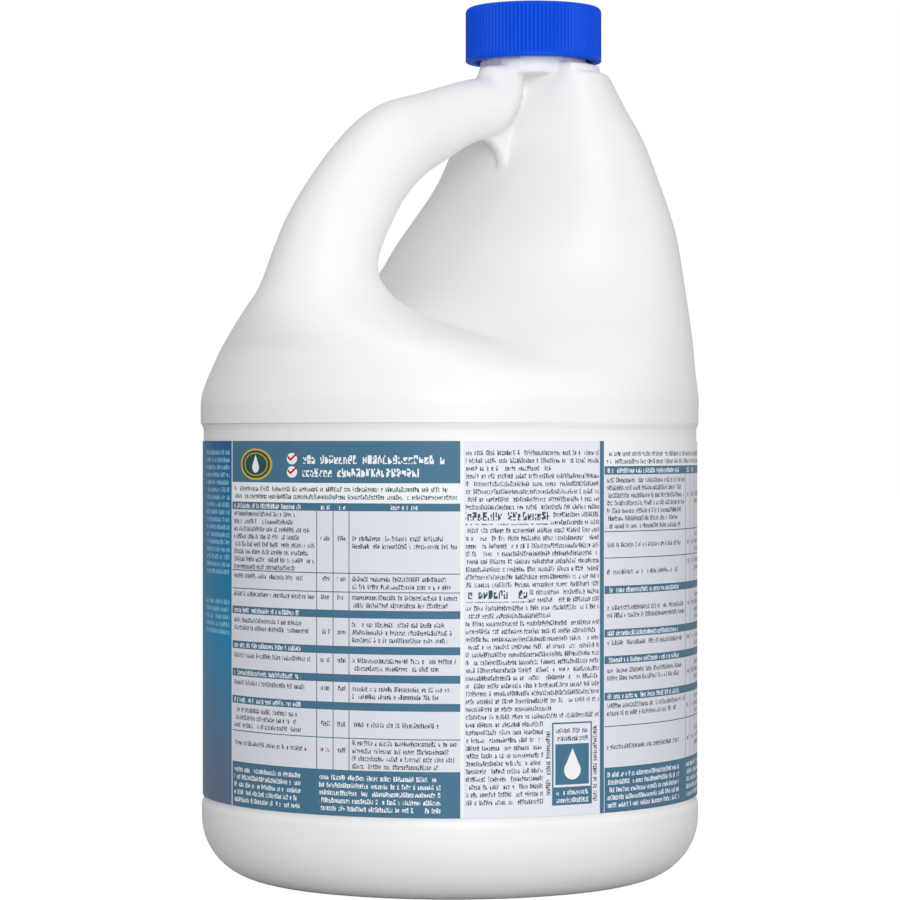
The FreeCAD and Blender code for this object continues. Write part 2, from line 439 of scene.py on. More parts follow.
def piece(name, parts, material, sharp_angle):
    """One mesh object from several lots of points and quads, in millimetres."""
    points = []
    quads = []
    offset = 0
    for part_points, part_quads in parts:
        points.append(part_points)
        quads.append(part_quads + offset)
        offset += len(part_points)
    points = np.concatenate(points) * MM
    quads = np.concatenate(quads)
    mesh = bpy.data.meshes.new(name)
    mesh.from_pydata(points.tolist(), [], quads.tolist())
    mesh.validate()
    mesh.polygons.foreach_set("use_smooth", [True] * len(mesh.polygons))
    mesh.set_sharp_from_angle(angle=math.radians(sharp_angle))
    mesh.materials.append(material)
    mesh.update()
    thing = bpy.data.objects.new(name, mesh)
    bpy.context.scene.collection.objects.link(thing)
    return thing


def rounded(centre, radius, start, end, steps):
    """Points of an arc in (radius, height), from one angle to another in degrees."""
    angles = np.radians(np.linspace(start, end, steps))
    return [(centre[0] + radius * math.cos(a), centre[1] + radius * math.sin(a)) for a in angles]


class Value:
    """A number that changes over a surface, with the operators of a Python number."""

    def __init__(self, network, socket):
        self.network = network
        self.socket = socket

    def use(self, operation, *others):
        return self.network.value("ShaderNodeMath", {"operation": operation}, self, *others)

    def __add__(self, other):
        return self.use("ADD", other)

    __radd__ = __add__

    def __sub__(self, other):
        return self.use("SUBTRACT", other)

    def __rsub__(self, other):
        return self.network.value("ShaderNodeMath", {"operation": "SUBTRACT"}, other, self)

    def __mul__(self, other):
        return self.use("MULTIPLY", other)

    __rmul__ = __mul__

    def __truediv__(self, other):
        return self.use("DIVIDE", other)

    def __gt__(self, other):
        return self.use("GREATER_THAN", other)

    def __lt__(self, other):
        return self.use("LESS_THAN", other)


class Network:
    """The nodes of one material or of the surround."""

    def __init__(self, tree):
        self.tree = tree

    def node(self, kind, settings, *inputs, **named):
        """Any node: its type, its settings, then the values or links of its sockets."""
        node = self.tree.nodes.new(kind)
        for key, setting in settings.items():
            setattr(node, key, setting)
        sockets = list(enumerate(inputs))
        sockets += [(name.replace("_", " "), given) for name, given in named.items()]
        for key, given in sockets:
            self.feed(node.inputs[key], given)
        return node

    def feed(self, socket, given):
        if isinstance(given, Value):
            given = given.socket
        if isinstance(given, bpy.types.NodeSocket):
            self.tree.links.new(given, socket)
        else:
            socket.default_value = given

    def value(self, kind, settings, *inputs, **named):
        return Value(self, self.node(kind, settings, *inputs, **named).outputs[0])

    def ray(self, name):
        """1 where the light path is of the named kind."""
        return Value(self, self.node("ShaderNodeLightPath", {}).outputs[name])


class Finish(Network):
    """A material under construction."""

    def __init__(self, name, roughness=0.5, **constants):
        self.material = bpy.data.materials.new(name)
        self.material.use_nodes = True
        super().__init__(self.material.node_tree)
        self.shader = self.tree.nodes["Principled BSDF"]
        self.shader.inputs["Roughness"].default_value = roughness
        for socket, constant in constants.items():
            self.shader.inputs[socket.replace("_", " ")].default_value = constant

    def position(self):
        """The object's own coordinates, in metres, as a vector and as three numbers."""
        place = self.node("ShaderNodeTexCoord", {}).outputs["Object"]
        split = self.node("ShaderNodeSeparateXYZ", {}, place)
        return place, [Value(self, output) for output in split.outputs]

    def noise(self, place, scale, detail=2.0):
        return self.value("ShaderNodeTexNoise", {}, Vector=place, Scale=scale, Detail=detail)

    def mixed(self, share, low, high):
        """A colour between two colours."""
        node = self.node("ShaderNodeMix", {"data_type": "RGBA"}, share)
        for socket, colour in ((node.inputs[6], low), (node.inputs[7], high)):
            self.feed(socket, (*colour, 1.0) if isinstance(colour, tuple) else colour)
        return node.outputs[2]

    def paint(self, colour):
        self.feed(self.shader.inputs["Base Color"], colour)

    def polish(self, roughness):
        self.feed(self.shader.inputs["Roughness"], roughness)

    def bump(self, height, strength, distance):
        node = self.node("ShaderNodeBump", {}, Height=height, Strength=strength, Distance=distance)
        self.feed(self.shader.inputs["Normal"], node.outputs[0])


# Each plastic's colour drifts between two
MILKY_WHITES = ((0.86, 0.862, 0.865), (0.90, 0.90, 0.90))
CAP_BLUES = ((0.0002, 0.072, 0.69), (0.0004, 0.082, 0.74))
FOAM_WHITES = ((0.78, 0.78, 0.75), (0.86, 0.86, 0.84))
PARTING_LINE = 0.44


def white_plastic():
    """Natural white polyethylene with a faint mould grain and the mould's parting line."""
    finish = Finish("white_plastic", 0.38, Specular_IOR_Level=0.4)
    place, (_, y, _) = finish.position()
    cloud = finish.noise(place, 14.0, 3.0)
    finish.paint(finish.mixed(cloud, *MILKY_WHITES))
    grain = finish.noise(place, 900.0, 2.0)
    waves = finish.noise(place, 40.0, 2.0)
    seam = y.use("ABSOLUTE") < PARTING_LINE / 2 * MM
    finish.polish(0.34 + 0.1 * grain)
    finish.bump(grain * 0.05 + waves * 0.4 + seam * 0.12, 0.35, 0.0006)
    return finish.material


def blue_plastic():
    """Moulded blue with a soft shine."""
    finish = Finish("blue_plastic", 0.42, Specular_IOR_Level=0.11)
    place, _ = finish.position()
    cloud = finish.noise(place, 60.0, 2.0)
    finish.paint(finish.mixed(cloud, *CAP_BLUES))
    finish.polish(0.38 + 0.1 * cloud)
    finish.bump(finish.noise(place, 700.0, 2.0), 0.15, 0.0003)
    return finish.material


def foam():
    """The sealing disc's foamed sheet."""
    finish = Finish("liner_foam", 0.7)
    place, _ = finish.position()
    cells = finish.noise(place, 1500.0, 2.0)
    finish.paint(finish.mixed(cells, *FOAM_WHITES))
    finish.bump(cells, 0.3, 0.0002)
    return finish.material


SHEET_DEPTH = LABEL_TOP - LABEL_BOTTOM

# Inks
SLATE = (0.066, 0.175, 0.275)
PALE_CELL = (0.745, 0.757, 0.815)
PALE_PANEL = (0.790, 0.802, 0.860)
PAPER = (0.880, 0.890, 0.910)
INK = (0.038, 0.085, 0.125)
DEEP_BLUE = (0.004, 0.110, 0.300)
BRIGHT_BLUE = (0.002, 0.250, 0.480)
PALE_BLUE = (0.300, 0.620, 0.800)
GREY_BLUE = (0.115, 0.175, 0.280)
GOLD = (0.640, 0.420, 0.040)
DARK_GREEN = (0.020, 0.085, 0.080)
TICK_RED = (0.520, 0.012, 0.020)

# The sheet's parts, in millimetres along it from the seam
SEAM_BAR = (0.0, 1.5)
RIGHT_TABLE = (1.7, 99.6)
FRONT = (100.6, 374.0)
LEFT_TABLE = (374.5, 458.9)
NOTES = (459.9, 504.8)
PRINT_PITCH = 2.35
LETTER = 0.70
RULE_HALF = 0.15

# A mark that stands in for a letter: the share of empty places and of short marks, then
# its top, a tall one's rise, its foot and its side as shares of its row and of its place
MARK_EMPTY = 0.15
MARK_SHORT = 0.6
MARK_TOP = 0.33
MARK_RISE = 0.14
MARK_FOOT = 0.84
MARK_SIDE = 0.80

# The blocks that a mark is made of: strokes across, levels down, the share left blank and
# how much less of the first stroke that is
MARK_STROKES = 3.75
MARK_LEVELS = 7.1
MARK_BLANK = 0.43
MARK_STEM = 0.30

# The notes: the print's edges and its rows, the headings' pitch and letter, then patches as
# left, right, top and bottom
NOTES_PRINT = (460.5, 504.2)
NOTES_ROWS = 47
NOTES_HEADING_PITCH = 3.95
NOTES_HEADING_LETTER = 1.55
NOTES_HEADINGS = [(460.5, 486.6, 20.9, 25.0), (460.5, 479.6, 44.5, 48.6)]
SIGN_ROOM = (484.6, 504.8, 84.5, SHEET_DEPTH)
SIGN_EDGE = (487.6, 501.6, 85.6, 110.8)
SIGN_FIELD = (488.1, 501.1, 86.1, 110.3)
SIGN_PICTURE = (488.7, 500.5, 92.2, 104.6)
SIGN_FOOT = (488.1, 501.1, 105.3, 110.3)
SIGN_CAPTION = (489.0, 500.2, 86.95, 91.65)
SIGN_FOOT_PRINT = (489.0, 500.2, 105.4, 110.1)
SIGN_SIDES = [(485.05, 487.4, 88.0, 109.0), (502.0, 504.2, 87.0, 110.0)]
SIGN_DROP = (494.6, 100.2, 2.9)

# The left table's head: its oval badge with a ring and a drop, its ticks and its two lines
BADGE = (387.6, 7.2)
BADGE_NARROWING = 0.62
BADGE_RADIUS = 4.9
BADGE_FIELD = 4.3
BADGE_RING = (3.3, 3.6)
BADGE_DROP = (387.6, 8.1, 1.7)
TICK_PLACE = 403.7
TICK_LEVELS = (5.4, 9.5)
TICK_DISC = 1.75
TICK_HALF = 0.42
HEAD_PITCH = 4.0
HEAD_LETTER = 1.6
HEAD_LINES = [(407.8, 457.0, 3.6, 7.6), (407.8, 446.4, 7.6, 11.6)]

# The front: its two fades, the sweep's level, wave, wave length and reach, the ringed disc,
# and each bubble's place from the middle, level and radius
FRONT_MIDDLE = (FRONT[0] + FRONT[1]) / 2
FADE_DEPTH = 62.0
LOW_FADE_DEPTH = 44.0
SWEEP_LEVEL = 82.0
SWEEP_WAVE = 7.0
SWEEP_LENGTH = 34.0
SWEEP_REACH = 106.0
DISC_LEVEL = 40.0
DISC_RADIUS = 30.0
DISC_FIELD = 28.0
DISC_RING = (25.0, 25.9)
BUBBLES = [
    (-62, 22, 5.0),
    (-50, 36, 3.2),
    (-74, 44, 7.0),
    (60, 20, 3.6),
    (70, 36, 6.2),
    (52, 50, 4.2),
]

# Places in a table, in millimetres from its left edge: the start of two narrow columns and
# of the wide one
LEFT_COLUMNS = (38.6, 44.4, 49.8)
RIGHT_COLUMNS = (45.0, 50.5, 56.0)

# A table's levels from the top of the sheet: level, kind, then the first row and the
# number of rows of print in the first and in the wide column
LEFT_LEVELS = [
    (0.0, "head", 0, 0, 0, 0),
    (12.8, "intro", 0, 2, 0, 0),
    (18.9, "title", 0, 1, 0, 1),
    (21.3, "cell", 0, 8, 3, 2),
    (40.2, "cell", 0, 1, 0, 2),
    (45.9, "cell", 0, 1, 0, 2),
    (51.4, "title", 0, 1, 0, 0),
    (53.8, "cell", 0, 2, 0, 3),
    (62.3, "title", 0, 1, 0, 0),
    (64.7, "cell", 0, 1, 0, 2),
    (70.9, "title", 0, 1, 0, 0),
    (73.3, "cell", 0, 1, 0, 2),
    (79.4, "title", 0, 1, 0, 0),
    (81.8, "cell", 0, 3, 1, 1),
    (90.3, "cell", 1, 1, 0, 4),
    (100.0, "foot", 0, 5, 0, 5),
    (114.0, "end", 0, 0, 0, 0),
]
RIGHT_LEVELS = [
    (0.0, "intro", 1, 2, 0, 0),
    (7.7, "title", 0, 1, 0, 1),
    (10.3, "cell", 0, 7, 2, 2),
    (27.8, "cell", 1, 1, 0, 3),
    (35.9, "cell", 1, 1, 0, 2),
    (44.5, "title", 0, 1, 0, 0),
    (46.9, "cell", 1, 2, 0, 4),
    (57.8, "title", 0, 1, 0, 0),
    (60.2, "cell", 0, 1, 0, 2),
    (66.0, "title", 0, 1, 0, 0),
    (68.4, "cell", 0, 2, 0, 3),
    (77.2, "title", 0, 1, 0, 0),
    (79.6, "cell", 0, 2, 0, 3),
    (87.6, "cell", 2, 1, 1, 3),
    (100.2, "foot", 0, 5, 0, 5),
    (114.0, "end", 0, 0, 0, 0),
]


def band(value, low, high):
    """1 between two limits."""
    return value.use("COMPARE", (low + high) / 2, (high - low) / 2)


def any_band(value, spans):
    """1 in any of several bands that lie apart."""
    found = band(value, *spans[0])
    for span in spans[1:]:
        found = found + band(value, *span)
    return found


def patch(across, down, left, right, top, bottom):
    """1 in an upright rectangle of the sheet."""
    return band(across, left, right) * band(down, top, bottom)


def patches(across, down, sizes):
    """1 in any of several rectangles that lie apart."""
    found = patch(across, down, *sizes[0])
    for size in sizes[1:]:
        found = found + patch(across, down, *size)
    return found


def chance(finish, *numbers):
    """A random number from 0 to 1 for each set of whole numbers."""
    place = finish.node("ShaderNodeCombineXYZ", {}, *numbers).outputs[0]
    return finish.value("ShaderNodeTexWhiteNoise", {"noise_dimensions": "3D"}, place)


def words(finish, across, down, pitch, letter, seed):
    """Rows of meaningless marks, grouped like words, that stand in for print."""
    rows = down / pitch
    row = rows.use("FLOOR")
    share = rows - row
    along = across / letter + row * 17.31 + seed
    cell = along.use("FLOOR")
    side = along - cell
    printed = chance(finish, cell, row, seed) > MARK_EMPTY
    tall = chance(finish, cell, row, seed + 0.4) > MARK_SHORT
    body = (share > MARK_TOP - tall * MARK_RISE) * (share < MARK_FOOT) * (side < MARK_SIDE)
    stroke = (side * MARK_STROKES).use("FLOOR")
    level = ((share - (MARK_TOP - MARK_RISE)) * MARK_LEVELS).use("FLOOR")
    blank = MARK_BLANK - (stroke < 0.5) * MARK_STEM
    inked = chance(finish, cell * 4 + stroke, row * 9 + level, seed) > blank
    return printed * body * inked


def ragged(finish, down, seed):
    """A number for each row of small print, from 0 to 1."""
    row = (down / PRINT_PITCH).use("FLOOR") + seed
    return finish.value("ShaderNodeTexWhiteNoise", {"noise_dimensions": "1D"}, W=row)


def table(finish, across, down, levels, columns, left, right):
    """One ruled table: its slate bands, pale cells, rules, dark print and white print."""
    place = across - left
    width = right - left
    first_column, second_column, wide_column = columns
    slate_spans = []
    cell_spans = []
    rules = []
    rows = {key: [] for key in ("intro", "first", "narrow", "wide", "white", "white_title", "white_wide")}
    # The level from which the rows are counted, which moves on with each part of the table
    restart = None
    last_start = 0.0
    for (top, kind, first, first_count, wide, wide_count), below in zip(levels[:-1], levels[1:]):
        height = below[0] - top
        count = max(1, int(height / PRINT_PITCH))
        start = top + (height - count * PRINT_PITCH) / 2
        step = start - last_start
        last_start = start
        restart = step if restart is None else restart + (down > top) * (step + 40 * PRINT_PITCH)
        first_span = (start + first * PRINT_PITCH, start + (first + first_count) * PRINT_PITCH)
        wide_span = (start + wide * PRINT_PITCH, start + (wide + wide_count) * PRINT_PITCH)
        middle = start + (wide + (wide_count - 1) // 2) * PRINT_PITCH
        if kind in ("head", "title", "foot"):
            slate_spans.append((top, below[0]))
        if kind == "cell":
            cell_spans.append((top, below[0]))
            rows["first"].append(first_span)
            rows["wide"].append(wide_span)
            rows["narrow"].append((middle, middle + PRINT_PITCH))
            if below[1] == "cell":
                rules.append((below[0] - RULE_HALF, below[0] + RULE_HALF))
        if kind == "intro":
            rows["intro"].append(first_span)
        if kind in ("title", "foot"):
            rows["white"].append(first_span)
        if kind == "title" and wide_count:
            rows["white_title"].append(wide_span)
        if kind == "foot":
            rows["white_wide"].append(wide_span)
    spans = {key: any_band(down, found) for key, found in rows.items()}
    local = down - restart
    small = words(finish, across, local, PRINT_PITCH, LETTER, left)
    slate = any_band(down, slate_spans)
    pale = any_band(down, cell_spans)
    edges = [(x - RULE_HALF, x + RULE_HALF) for x in columns]
    lines = any_band(place, edges) * pale + any_band(down, rules)
    loose = place + ragged(finish, local, left) * 9.0
    narrow = band(place, first_column + 1.4, second_column - 1.2)
    narrow = narrow + band(place, second_column + 1.4, wide_column - 1.2)
    dark = band(place, 1.0, first_column - 0.8) * (loose < first_column) * spans["first"]
    dark = dark + band(place, wide_column + 1.0, width - 1.0) * (loose < width + 1.0) * spans["wide"]
    dark = dark + band(place, 1.0, width - 1.0) * (loose < width + 4.0) * spans["intro"]
    dark = dark + narrow * spans["narrow"]
    centre = (wide_column + width) / 2
    white = band(place, 1.2, first_column - 6.0) * spans["white"]
    white = white + (band(place, centre - 4.5, centre + 4.5) + narrow) * spans["white_title"]
    white = white + band(place, first_column + 0.8, width - 6.0) * spans["white_wide"]
    return slate, pale, lines, dark * small, white * small


def near(across, down, centre_across, centre_down, stretch=1.0):
    """Distance from a point on the sheet."""
    x = (across - centre_across) * stretch
    y = down - centre_down
    return (x * x + y * y).use("SQRT")


def drop(across, down, centre_across, centre_down, radius):
    """The share inside a drop with a pointed top."""
    x = (across - centre_across).use("ABSOLUTE")
    y = down - centre_down
    belly = near(across, down, centre_across, centre_down) < radius
    point = band(y, -2.3 * radius, -0.3 * radius) * (x < (y + 2.3 * radius) * 0.46)
    return (belly + point) > 0.5


def notes_print(finish, across, down, ground):
    """A full column of small print with two headings, and a framed sign at its foot."""
    small = words(finish, across, down, PRINT_PITCH, LETTER, 5.0)
    heading = words(finish, across, down - 1.0, NOTES_HEADING_PITCH, NOTES_HEADING_LETTER, 9.0)
    ground = finish.mixed(band(across, *NOTES), ground, PALE_PANEL)
    headings = patches(across, down, NOTES_HEADINGS)
    column = patch(across, down, *NOTES_PRINT, PRINT_PITCH, NOTES_ROWS * PRINT_PITCH)
    column = column * (1 - patch(across, down, *SIGN_ROOM)) * (1 - headings)
    ends = NOTES_PRINT[1] + 0.1 - (ragged(finish, down, 40.0) > 0.88) * 17.0
    side_print = words(finish, down, across - SIGN_SIDES[0][0], PRINT_PITCH, LETTER, 21.0)
    sides = patches(across, down, SIGN_SIDES)
    caption = patch(across, down, *SIGN_CAPTION)
    dark = column * small * (across < ends) + headings * heading + sides * side_print + caption * small
    ground = finish.mixed(dark.use("MINIMUM", 1.0), ground, INK)

    sign_line = patch(across, down, *SIGN_EDGE) - patch(across, down, *SIGN_FIELD)
    fields = patches(across, down, [SIGN_PICTURE, SIGN_FOOT])
    ground = finish.mixed(sign_line + fields, ground, SLATE)
    foot_print = patch(across, down, *SIGN_FOOT_PRINT) * small
    return finish.mixed(drop(across, down, *SIGN_DROP) + foot_print, ground, PAPER)


def head_print(finish, across, down, ground):
    """The left table's head: an oval badge, two ticks in discs and two lines of heading."""
    badge = near(across, down, *BADGE, BADGE_NARROWING)
    ground = finish.mixed(badge < BADGE_RADIUS, ground, GOLD)
    ground = finish.mixed(badge < BADGE_FIELD, ground, DARK_GREEN)
    ground = finish.mixed(band(badge, *BADGE_RING), ground, GOLD)
    ground = finish.mixed(drop(across, down, *BADGE_DROP), ground, PAPER)
    for level in TICK_LEVELS:
        disc = near(across, down, TICK_PLACE, level, 0.85)
        ground = finish.mixed(disc < TICK_DISC, ground, PAPER)
        slope = (across - TICK_PLACE + 0.6) * 0.75
        rise = ((down - level) + slope - 0.35).use("ABSOLUTE") < TICK_HALF
        fall = ((down - level) - slope * 1.1 - 0.35).use("ABSOLUTE") < TICK_HALF
        tick = rise * band(across, TICK_PLACE - 0.6, TICK_PLACE + 1.9)
        tick = tick + fall * band(across, TICK_PLACE - 1.8, TICK_PLACE - 0.5)
        ground = finish.mixed(tick, ground, TICK_RED)
    heading = words(finish, across, down - HEAD_LINES[0][2], HEAD_PITCH, HEAD_LETTER, 31.0)
    return finish.mixed(patches(across, down, HEAD_LINES) * heading, ground, PAPER)


def front_print(finish, across, down, ground):
    """The blue front: a soft fade, a wide sweep, a ringed drop, bubbles and plain print."""
    fade = (down / FADE_DEPTH).use("MINIMUM", 1.0)
    blue = finish.mixed(fade, DEEP_BLUE, BRIGHT_BLUE)
    low_fade = ((down - FADE_DEPTH) / LOW_FADE_DEPTH).use("MAXIMUM", 0.0).use("MINIMUM", 1.0)
    blue = finish.mixed(low_fade, blue, GREY_BLUE)

    aside = across - FRONT_MIDDLE
    crest = down - SWEEP_LEVEL - (aside / SWEEP_LENGTH).use("COSINE") * SWEEP_WAVE
    taper = (1.0 - aside.use("ABSOLUTE") / SWEEP_REACH).use("MAXIMUM", 0.0)
    blue = finish.mixed((crest > 0.0) * (taper * 7.0 - crest > 0.0), blue, PAPER)
    blue = finish.mixed((crest - taper * 9.0 > 0.0) * (taper * 11.0 - crest > 0.0), blue, PALE_BLUE)

    disc = near(across, down, FRONT_MIDDLE, DISC_LEVEL)
    blue = finish.mixed(disc < DISC_RADIUS, blue, PAPER)
    blue = finish.mixed(disc < DISC_FIELD, blue, BRIGHT_BLUE)
    blue = finish.mixed(band(disc, *DISC_RING), blue, PALE_BLUE)
    blue = finish.mixed(drop(across, down, FRONT_MIDDLE, 46.0, 12.0), blue, PAPER)
    blue = finish.mixed(drop(across, down, FRONT_MIDDLE + 3.0, 49.0, 5.5), blue, PALE_BLUE)
    for offset, level, radius in BUBBLES:
        rim = near(across, down, FRONT_MIDDLE + offset, level)
        shine = near(across, down, FRONT_MIDDLE + offset - radius * 0.35, level - radius * 0.35)
        blue = finish.mixed(band(rim, radius - 0.8, radius), blue, PALE_BLUE)
        blue = finish.mixed(shine < radius * 0.2, blue, PAPER)

    small = words(finish, across, down, PRINT_PITCH, LETTER, 60.0)
    left_edge = patch(across, down, FRONT[0] + 3, FRONT[0] + 24, 42 * PRINT_PITCH, 47 * PRINT_PITCH)
    right_edge = band(across, FRONT[1] - 24, FRONT[1] - 1.5)
    right_rows = band(down, PRINT_PITCH, 18 * PRINT_PITCH) + band(down, 21 * PRINT_PITCH, 26 * PRINT_PITCH)
    blue = finish.mixed(left_edge * small, blue, PAPER)
    blue = finish.mixed(right_edge * right_rows * small, blue, PALE_BLUE)
    return finish.mixed(band(across, *FRONT), ground, blue)


def label_print():
    """The printed film: two ruled tables, a column of notes and a blue front."""
    finish = Finish("label_film", 0.35, Specular_IOR_Level=0.15)
    place, (x, y, z) = finish.position()
    turn = y.use("ARCTAN2", x) - SEAM_ANGLE
    turn = turn + (turn < 0) * (2 * math.pi)
    across = turn * LABEL_RADIUS
    down = LABEL_TOP - z / MM

    ground = PAPER
    tables = [(LEFT_TABLE, LEFT_LEVELS, LEFT_COLUMNS), (RIGHT_TABLE, RIGHT_LEVELS, RIGHT_COLUMNS)]
    for (left, right), levels, columns in tables:
        area = band(across, left, right)
        slate, pale, lines, dark, white = table(finish, across, down, levels, columns, left, right)
        ground = finish.mixed(area * pale, ground, PALE_CELL)
        ground = finish.mixed((area * (lines + slate)).use("MINIMUM", 1.0), ground, SLATE)
        ground = finish.mixed(area * dark, ground, INK)
        ground = finish.mixed(area * white, ground, PAPER)
    ground = finish.mixed(band(across, *SEAM_BAR), ground, SLATE)
    ground = notes_print(finish, across, down, ground)
    ground = head_print(finish, across, down, ground)
    ground = front_print(finish, across, down, ground)
    finish.paint(ground)

    grain = finish.noise(place, 220.0, 2.0)
    finish.polish(0.32 + 0.08 * grain)
    finish.bump(finish.noise(place, 28.0, 2.0), 0.2, 0.0004)
    return finish.material


def bottle():
    """The blown shell, inside and out, with its neck finish."""
    size = BODY_RADIUS + 2.0
    low = (-size, -size, RECESS_TOP)
    high = (size, size, NECK_JOINT)
    layers = OUTER_LAYERS
    outside = skin(outer_form, low, high, layers, 3)
    inside_points, inside_quads = skin(inner_form, low, high, INNER_LAYERS, 2)
    inside = inside_points, inside_quads[:, ::-1]

    recess = BODY_RADIUS - RECESS_DEPTH
    corner = (BODY_RADIUS - BASE_CORNER, BASE_CORNER)
    ease = [(share * share * (3 - 2 * share), share) for share in np.linspace(0, 1, 6)]
    outline = [
        (BODY_RADIUS - RECESS_DEPTH * drawn, RECESS_TOP - RECESS_EASE * share)
        for drawn, share in ease
    ]
    outline += [(recess, z) for z in np.linspace(RECESS_TOP - 4, RECESS_BOTTOM + 4, 10)]
    outline += [
        (recess + RECESS_DEPTH * drawn, RECESS_BOTTOM - RECESS_EASE * share)
        for drawn, share in ease
    ]
    outline += rounded(corner, BASE_CORNER, 0, -90, 16)
    outline += [(BASE_RING_INNER + 2, 0.0), (BASE_RING_INNER, BASE_RING_EDGE)]
    dome = [
        (radius, BASE_RING_EDGE + BASE_PUSH_UP * (1 - (radius / BASE_RING_INNER) ** 2))
        for radius in (50, 42, 32, 20, 8, 0.01)
    ]
    outline += dome
    outline += [(radius, z + WALL) for radius, z in reversed(dome[1:])]
    outline += [(BASE_RING_INNER, WALL)]
    outline += rounded(corner, BASE_CORNER - WALL, -90, 0, 10)
    outline += [(BODY_RADIUS - WALL, z) for z in (40, 90, RECESS_TOP)]
    lower_points, lower_quads = turned(outline, BODY_SIDES)
    lower = lower_points, lower_quads[:, ::-1]

    made = piece("blown_jug", [outside, inside, lower, neck_finish()], white_plastic(), 60)
    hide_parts("bottle")
    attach(made, "bottle_body")


def thread_height(angle, z, start, end, crest):
    """How far a right-handed ridge stands out, with its ends faded."""
    turns = (z - start) / THREAD_LEAD - angle / (2 * math.pi)
    nearest = np.round(turns)
    along = (nearest + angle / (2 * math.pi)) * THREAD_LEAD
    off = np.abs(turns - nearest) * THREAD_LEAD
    flank = np.clip((THREAD_HALF - off) / THREAD_SLOPE + 0.5, 0, 1)
    fade = np.clip(along / THREAD_FADE, 0, 1)
    fade = fade * np.clip((end - start - along) / THREAD_FADE, 0, 1)
    return crest * flank * fade


def neck_finish():
    """The threaded tube above the joint, its rim and its bore."""
    outer = [(NECK_RADIUS, z) for z in np.linspace(NECK_JOINT, NECK_TOP - 0.8, 52)]
    outer_centre = (NECK_RADIUS - RIM_OUTER_ROUND, NECK_TOP - RIM_OUTER_ROUND)
    inner_centre = (NECK_BORE + RIM_INNER_ROUND, NECK_TOP - RIM_INNER_ROUND)
    rim = rounded(outer_centre, RIM_OUTER_ROUND, 20, 90, 4)
    rim += rounded(inner_centre, RIM_INNER_ROUND, 90, 180, 4)
    bore = [(NECK_BORE, z) for z in (NECK_TOP - 4, NECK_TOP - 9, NECK_JOINT)]
    points, quads = turned(outer + rim + bore, NECK_SIDES, NECK_X)
    threaded = len(outer) * NECK_SIDES
    angle = 2 * math.pi * (np.arange(threaded) % NECK_SIDES) / NECK_SIDES
    ridge = thread_height(angle, points[:threaded, 2], THREAD_START, NECK_THREAD_END, NECK_CREST)
    points[:threaded, 0] += ridge * np.cos(angle)
    points[:threaded, 1] += ridge * np.sin(angle)
    return points, quads


def cap():
    """The ribbed cap with a rounded top edge, a plain foot and an inner thread."""
    ceiling = CAP_TOP - CAP_TOP_THICKNESS
    top_radius = CAP_RADIUS - CAP_EDGE
    foot_centre = (CAP_RADIUS - CAP_FOOT_ROUND, CAP_BOTTOM + CAP_FOOT_ROUND)
    outline = [(CAP_BORE + CAP_FOOT_ROUND, CAP_BOTTOM), (CAP_RADIUS - CAP_FOOT_ROUND, CAP_BOTTOM)]
    outline += rounded(foot_centre, CAP_FOOT_ROUND, -60, 0, 3)
    outline += [(CAP_RADIUS, CAP_BOTTOM + CAP_PLAIN_FOOT + rise) for rise in (-0.1, 0.1, 0.5)]
    outline += [(CAP_RADIUS, z) for z in np.linspace(CAP_BOTTOM + 3, CAP_TOP - CAP_EDGE - 0.5, 5)]
    outline += rounded((top_radius, CAP_TOP - CAP_EDGE), CAP_EDGE, 0, 90, 8)
    outline += [(top_radius - 1.2, CAP_TOP)]
    outline += [(radius, CAP_TOP - CAP_DISH) for radius in (top_radius - 1.6, 8, 0.01)]
    outline += [(0.01, ceiling)]
    outline += [(CAP_BORE - 0.6, ceiling), (CAP_BORE, ceiling - 0.6)]
    outline += [(CAP_BORE, z) for z in np.linspace(ceiling - 1.6, CAP_BOTTOM + CAP_FOOT_ROUND, 40)]
    outline += [(CAP_BORE + CAP_FOOT_ROUND, CAP_BOTTOM)]
    points, quads = turned(outline, CAP_RIBS * SIDES_PER_RIB, NECK_X)

    dx = points[:, 0] - NECK_X
    dy = points[:, 1]
    z = points[:, 2]
    radius = np.hypot(dx, dy)
    angle = np.arctan2(dy, dx)
    grooved = np.clip((z - CAP_BOTTOM - CAP_PLAIN_FOOT) / 0.4, 0, 1)
    grooved = grooved * np.clip((radius - top_radius + 0.2) / 0.8, 0, 1)
    groove = CAP_RIB_DEPTH * grooved * (0.5 - 0.5 * np.cos(CAP_RIBS * angle)) ** 1.6
    ridge = thread_height(angle, z, THREAD_START - THREAD_LEAD / 2, CAP_THREAD_END, CAP_CREST)
    ridge = ridge * (np.abs(radius - CAP_BORE) < 0.01)
    scale = (radius - groove - ridge) / np.maximum(radius, 0.001)
    points[:, 0] = NECK_X + dx * scale
    points[:, 1] = dy * scale
    made = piece("screw_cap", [(points, quads)], blue_plastic(), 50)
    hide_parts("cap")
    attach(made, "cap_body")


def label():
    """The printed sleeve, with its butt seam."""
    made = piece("printed_sleeve", [label_sleeve()], label_print(), 40)
    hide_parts("wrap_label")
    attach(made, "bottle_body")


